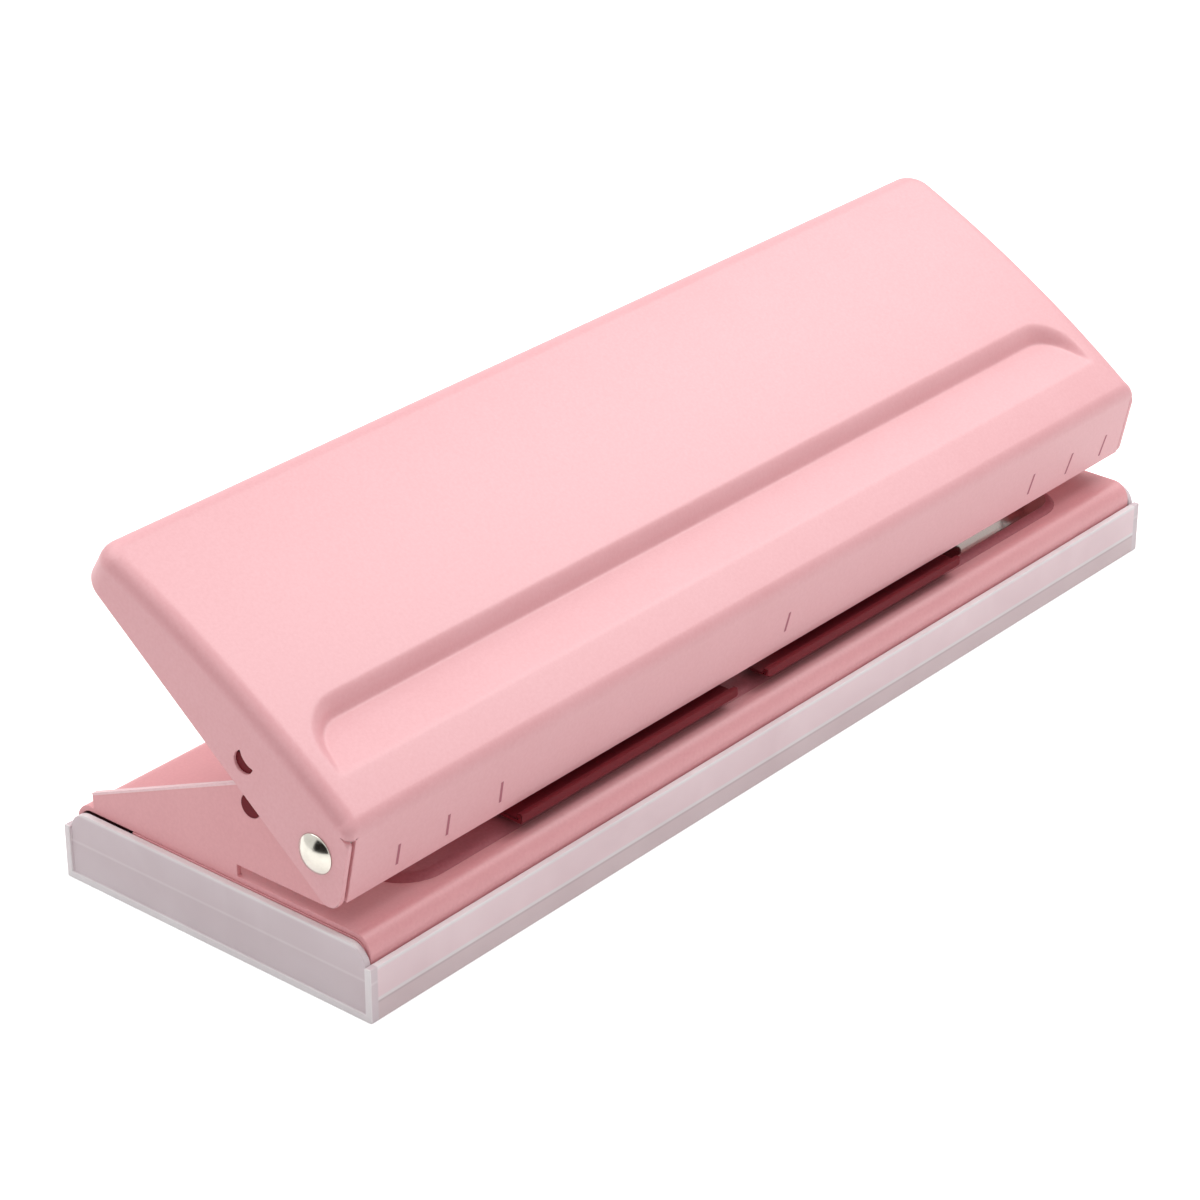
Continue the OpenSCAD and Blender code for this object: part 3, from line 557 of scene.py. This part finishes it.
n_plate = math.pi / 2 + np.arctan(rise - 2 * sag * (u_plate - start[0]))
row_u = np.concatenate([front_face(w_flange), bend_u + front_r * np.cos(arc), u_plate])
row_w = np.concatenate([w_flange, bend_w + front_r * np.sin(arc), w_plate])
row_n = np.concatenate([np.full(len(w_flange), math.pi - lean), arc, n_plate])
straight = len(row_u) - len(turn)
row_r = np.concatenate([np.full(len(w_flange), slot_r), np.linspace(slot_r, side_r, len(arc)),
                        np.full(straight - len(w_flange) - len(arc), side_r), turn_r])
row_half = np.concatenate([half - row_r[:straight], half - corner_r + (corner_r - turn_r) * np.cos(turn)])
row_turn = np.concatenate([np.zeros(straight), turn])

# Across: dense near the ends of the scoop, open in the middle
scoop_near = 104.0
across = np.concatenate([np.linspace(0, scoop_near, 24), np.linspace(scoop_near, half - side_r, 44)[1:]])
across = np.concatenate([-across[:0:-1], across]) / (half - side_r)
main = np.stack(np.broadcast_arrays(across[None] * row_half[:, None], row_u[:, None], row_w[:, None]), -1).copy()
plate_rows = slice(len(w_flange) + len(arc) - 1, None)
main[plate_rows, :, 2] -= scoop_depth(main[plate_rows, :, 0], main[plate_rows, :, 1])

# Side bends, turned with the plan corner, and the flange below them at the corners
theta = np.radians(np.arange(10, 91, 10))
out, down = row_r[:, None] * np.sin(theta), row_r[:, None] * (1 - np.cos(theta))
back_out = np.sin(row_turn)[:, None] * out
sin_n, cos_n = np.sin(row_n)[:, None], np.cos(row_n)[:, None]
bend = np.stack([row_half[:, None] + np.cos(row_turn)[:, None] * out,
                 row_u[:, None] + back_out * sin_n - down * cos_n,
                 row_w[:, None] - back_out * cos_n - down * sin_n], -1)
fall_steps = np.linspace(0, 1, 8)[1:]
foot = lower_edge(bend[:, -1, 1])
skirt = np.repeat(bend[:, -1:], len(fall_steps), 1)
skirt[..., 2] += (foot - bend[:, -1, 2])[:, None] * fall_steps
right = np.concatenate([bend, skirt], 1)
left = right[:, ::-1] * [-1, 1, 1]
whole = np.concatenate([left, main, right], 1)

# Rear bend and flange: the last row of the corners carried along the rear edge
back_rows = np.concatenate([main[-1:], np.repeat(right[-1][:, None], main.shape[1], 1)])
back_rows[1:, :, 0] = main[-1, :, 0]


def grid_faces(grid, keep=True):
    """Quads of a grid of points, row by row, without those that keep leaves out."""
    rows, columns = grid.shape[:2]
    i, j = np.meshgrid(np.arange(rows - 1), np.arange(columns - 1), indexing="ij")
    a = i * columns + j
    return np.stack([a, a + 1, a + columns + 1, a + columns], -1)[np.broadcast_to(keep, a.shape)]


# Left out: the skirts beside the straight rows, which the flat side sheets fill, and the slots at the front corners.
# The right slot is narrower by two columns, which closes it.
keep = np.ones((whole.shape[0] - 1, whole.shape[1] - 1), bool)
skirt_n = len(fall_steps)
keep[:straight - 1, :skirt_n] = keep[:straight - 1, -skirt_n:] = False
gap = skirt_n + len(theta) + 1
keep[:slot_row, :gap] = keep[:slot_row, 2 - gap:] = False


def toe(r):
    """Centre of a fillet of radius r between the front edge and the lower edge of a side flange."""
    a, c = math.tan(lean), -reach + drop * math.tan(lean) + r / math.cos(lean)
    d = -side_drop + r * math.hypot(1, taper)
    u = (c + a * d) / (1 - a * taper)
    return np.array([u, d + taper * u])


def circle(r, angles):
    """Points of a circle of radius r about the origin, at angles in radians."""
    return r * np.stack([np.cos(angles), np.sin(angles)], 1)


# Flat side sheets with rivet hole and half-moon opening, filled between the bends and the trimmed outline, which
# ends in a small tongue below the slot
upper = bend[slot_row:straight, -1, 1:]
rear_line = skirt[straight - 1, :, 1:]
bottom_u = np.linspace(rear_line[-1, 0], toe(toe_r)[0], 14)[1:-1]
bottom = np.stack([bottom_u, lower_edge(bottom_u)], 1)
rounding = toe(toe_r) + circle(toe_r, np.linspace(-math.pi / 2 + math.atan(taper), -math.pi - lean, 9))
front_w = np.linspace(rounding[-1, 1] + 0.8, slot_top - 1.2, 6)
front_line = np.stack([front_face(front_w), front_w], 1)
tongue = np.array([front_face(slot_top), slot_top]) + [[-0.1, -0.8], [0.45, -0.55]]
outline = np.concatenate([upper, rear_line, bottom, rounding, front_line, tongue])
rivet_hole = circle(rivet_r, np.linspace(0, 2 * math.pi, 33)[:-1])
# The half-moon is a circle with a bite: the part of it that lies outside a larger circle up and to the front
moon_at, moon_r, bite_r, bite_at = np.array([18.2, 12.9]), 2.5, 4.0, np.array([-3.111, 3.111])
moon = np.concatenate([circle(moon_r, np.radians(np.linspace(-160.9, 70.9, 24))),
                       circle(bite_r, np.radians(np.linspace(-10.8, -79.2, 20))[1:-1]) + bite_at])
tilt = np.array([[math.cos(open_angle), -math.sin(open_angle)], [math.sin(open_angle), math.cos(open_angle)]])
loops = [outline, rivet_hole, (moon + moon_at) @ tilt]
starts = np.cumsum([0] + [len(p) for p in loops])
edges = [(a + k, a + (k + 1) % (b - a)) for a, b in zip(starts[:-1], starts[1:]) for k in range(b - a)]
flat_points, _, flat_faces, *_ = delaunay_2d_cdt([Vector(p) for p in np.concatenate(loops)], edges, [], 1, 1e-7)
flat = np.array([tuple(p) for p in flat_points])
flat_faces = np.array(flat_faces)
centres = flat[flat_faces].mean(1)
from_moon = centres @ tilt.T - moon_at
in_moon = (np.hypot(*from_moon.T) < moon_r) & (np.hypot(*(from_moon - bite_at).T) > bite_r)
in_hole = np.hypot(*centres.T) < rivet_r - 0.01
flat_faces = flat_faces[~in_hole & ~in_moon]
side_right = np.insert(flat, 0, half, 1)
side_left = side_right * [-1, 1, 1]

parts = [(whole.reshape(-1, 3), grid_faces(whole, keep)), (back_rows.reshape(-1, 3), grid_faces(back_rows)),
         (side_right, flat_faces), (side_left, flat_faces[:, ::-1])]
counts = np.cumsum([0] + [len(p) for p, _ in parts])
lever = piece_from("lever_pressing", to_frame(np.concatenate([p for p, _ in parts])),
                   [f for (_, q), n in zip(parts, counts) for f in (q + n).tolist()])
bm = bmesh.new()
bm.from_mesh(lever.data)
bmesh.ops.remove_doubles(bm, verts=bm.verts, dist=3e-6)
bmesh.ops.delete(bm, geom=[v for v in bm.verts if not v.link_faces], context="VERTS")
bm.to_mesh(lever.data)
bm.free()
lever.data.shade_smooth()
wall = lever.modifiers.new("sheet", "SOLIDIFY")
wall.thickness = sheet / 1000
wall.offset = -1.0
wall.use_even_offset = True
round_edges(lever, 0.0002)

# Powder coat in pale pink: satin, so that the softboxes lie as a broad sheen on the crowned plate
pale_pink = powder_coat("powder_coat_pale_pink", "e8a6ab", "edb0b5", rough=0.4)
finish_piece(lever, pale_pink, "lever", "lever_paint", "lever")

# Painted shade in the half-moons
# Cheek and lever are lanced in a half-moon beside each spring seat. Each half-moon is filled with a plate in the
# dark red, sunk in the lever and a little proud of the cheek: painted shade, for the shade inside the pressed-in
# flap.
for hand, s in hands:
    for owner, outer, inner, at, body in (("cheek", 130.22, 129.0, (-9.7, 34.6), "base"),
                                          ("lever", 132.4, 131.8, (-11.2, 45.9), "lever")):
        moon_painted_shade = prism("half_moon_%s_%s" % (owner, hand), stacked(moon + at, 0, s * inner, s * outer), 0.00002)
        finish_piece(moon_painted_shade, painted_shade_red, body, body + "_paint")

# Spring seats of the lever
# Two round-nosed tabs of the lever's own sheet, pressed inwards beside the half-moon openings.
# The lever springs push up against them.
tab_r, tab_root, tab_nose, tab_y, tab_z = 2.5, 132.4, 128.3, -11.2, 47.2
nose = circle(tab_r, np.radians(np.linspace(270, 90, 13)))
tab = np.concatenate([[[tab_root, -tab_r]], nose + [tab_nose, 0], [[tab_root, tab_r]]])
for hand, s in hands:
    seat = prism("lever_seat_" + hand, stacked(tab * [s, 1] + [0, tab_y], 2, tab_z, tab_z + sheet), 0.0002)
    finish_piece(seat, pale_pink, "lever", "lever_paint")

# Size ticks
# Thin pad-printed lines on the front flange, in a dull mauve ink, for lining up the sheet's edge.
# Each is a flat strip that lies on the flange, given by its foot and head: x along, and height up the flange.
ticks = np.array([[(-117.8, 2.7), (-117.8, 7.7)], [(-103.7, 2.7), (-103.9, 7.9)], [(-88.4, 3.2), (-88.7, 8.4)],
                  [(2.1, 4.6), (2.6, 9.4)],
                  [(93.4, 3.3), (94.3, 8.5)], [(108.9, 2.8), (110.1, 8.1)], [(123.2, 2.3), (124.3, 7.7)]])
tick_half, tick_up = np.array([0.38, 0]), 0.025
foot, head = ticks[:, 0], ticks[:, 1]
corner = np.stack([foot - tick_half, foot + tick_half, head + tick_half, head - tick_half], 1).reshape(-1, 2)
w = corner[:, 1] * math.cos(lean) - drop
ink_points = np.stack([corner[:, 0], front_face(w) - tick_up / math.cos(lean), w], 1)
ink_lines = piece_from("size_ticks", to_frame(ink_points), np.arange(len(ink_points)).reshape(-1, 4).tolist())

# Pad-printing ink: matt and thin, slightly uneven in specks of 0.25 mm
ink, tree = blank("pad_print_ink")
place = node(tree, "TexCoord").outputs["Object"]
speck = node(tree, "TexNoise", {"Vector": place, "Scale": 4000.0, "Detail": 2.0})
tone = node(tree, "ValToRGB", {"Fac": speck.outputs["Fac"]}, stops=((0.0, "a65a69"), (1.0, "bf6f7d")))
matt = node(tree, "BsdfPrincipled", {"Base Color": tone.outputs["Color"], "Roughness": 0.6})
node(tree, "OutputMaterial", {"Surface": matt.outputs["BSDF"]})
finish_piece(ink_lines, ink, "lever", "lever_paint")

# Press bar
# A bent strip of zinc-plated steel, spot-welded under the top plate.
# Its rolled nose pushes the six punch heads.
bar = eased_copy("press_bar_strip", "press_bar", 0.0002)
finish_piece(bar, zinc, "lever", "zinc_steel", "press_bar")

# Floor, light and camera
# A pale floor that shows white and keeps the shadow, a large softbox overhead and one to the right, which
# puts a sheen on the lever's top, in a room that is dim near the horizon so that the throat stays dark.
floor_half, floor_z = 6.0, -0.0001
floor_corners = np.insert(floor_half * np.array([(-1, -1), (1, -1), (1, 1), (-1, 1)]), 2, floor_z, 1)
floor = piece_from("floor", floor_corners, [(0, 1, 2, 3)])


def seen_directly(tree):
    """One for camera, glossy and transmission rays, nothing for the rays that light the object."""
    path = node(tree, "LightPath").outputs
    pair = node(tree, "Math", {0: path["Is Camera Ray"], 1: path["Is Glossy Ray"]}, operation="MAXIMUM")
    every = node(tree, "Math", {0: pair.outputs[0], 1: path["Is Transmission Ray"]}, operation="MAXIMUM")
    return every.outputs[0]


paper, tree = blank("floor_paper")
glow = node(tree, "Math", {0: seen_directly(tree), 1: 0.62}, operation="MULTIPLY")
white = node(tree, "BsdfPrincipled", {
    "Base Color": srgb("f4f4f4"), "Roughness": 0.9, "Specular IOR Level": 0.1,
    "Emission Color": srgb("ffffff"), "Emission Strength": glow.outputs[0]})
node(tree, "OutputMaterial", {"Surface": white.outputs["BSDF"]})
dress(floor, paper)

# The room is dim near the horizon and brighter overhead; rays that look straight at it see white
world = bpy.data.worlds.new("room")
bpy.context.scene.world = world
world.use_nodes = True
tree = world.node_tree
tree.nodes.clear()
ray = node(tree, "SeparateXYZ", {0: node(tree, "TexCoord").outputs["Generated"]})
sky = node(tree, "MapRange", {"Value": ray.outputs["Z"], "From Min": 0.0, "From Max": 0.7,
                              "To Min": 0.27, "To Max": 0.6})
level = node(tree, "MapRange", {"Value": seen_directly(tree), "To Min": sky.outputs["Result"], "To Max": 1.0})
room = node(tree, "Background", {"Color": srgb("ffffff"), "Strength": level.outputs["Result"]})
node(tree, "OutputWorld", {"Surface": room.outputs["Background"]})


def softbox(name, place, size, power):
    """A square soft light that looks at the middle of the part."""
    lamp = bpy.data.lights.new(name, "AREA")
    lamp.shape, lamp.size, lamp.energy = "SQUARE", size, power
    made = linked(name, lamp)
    made.location = place
    made.rotation_mode = "QUATERNION"
    made.rotation_quaternion = (Vector((0, 0, 0.03)) - Vector(place)).to_track_quat("-Z", "Y")


softbox("overhead_softbox", (-0.1, 0.5, 1.05), 1.1, 6.4)
softbox("right_softbox", (0.66, -0.14, 0.88), 0.6, 4.9)

# A dark flag to the left, seen only in reflections: it gives the polished rivet its dark side
flag_x, flag_front, flag_back, flag_low, flag_high = -1.0, -0.9, 0.3, 0.01, 0.75
flag_corners = np.array([(flag_x, flag_front, flag_low), (flag_x, flag_back, flag_low),
                         (flag_x, flag_back, flag_high), (flag_x, flag_front, flag_high)])
flag = piece_from("dark_flag", flag_corners, [(0, 1, 2, 3)])
felt, tree = blank("black_felt")
dark = node(tree, "BsdfDiffuse", {"Color": srgb("1c1614")})
node(tree, "OutputMaterial", {"Surface": dark.outputs["BSDF"]})
dress(flag, felt)
flag.visible_camera = flag.visible_diffuse = flag.visible_shadow = flag.visible_transmission = False

# The camera that was fitted to the corners of tray and lever: where it stands, and the direction behind it
azimuth, elevation = math.radians(-49.925), math.radians(27.126)
behind = Vector((math.sin(azimuth) * math.cos(elevation), -math.cos(azimuth) * math.cos(elevation),
                 math.sin(elevation)))
camera_data = bpy.data.cameras.new("photo_camera")
camera_data.sensor_width = 36.0
camera_data.lens = 110.358
camera = linked("photo_camera", camera_data)
camera.location = (-0.5496, -0.4493, 0.3880)
camera.rotation_mode = "QUATERNION"
camera.rotation_quaternion = (-behind).to_track_quat("-Z", "Y")
bpy.context.scene.camera = camera
bpy.context.scene.view_settings.view_transform = "Standard"
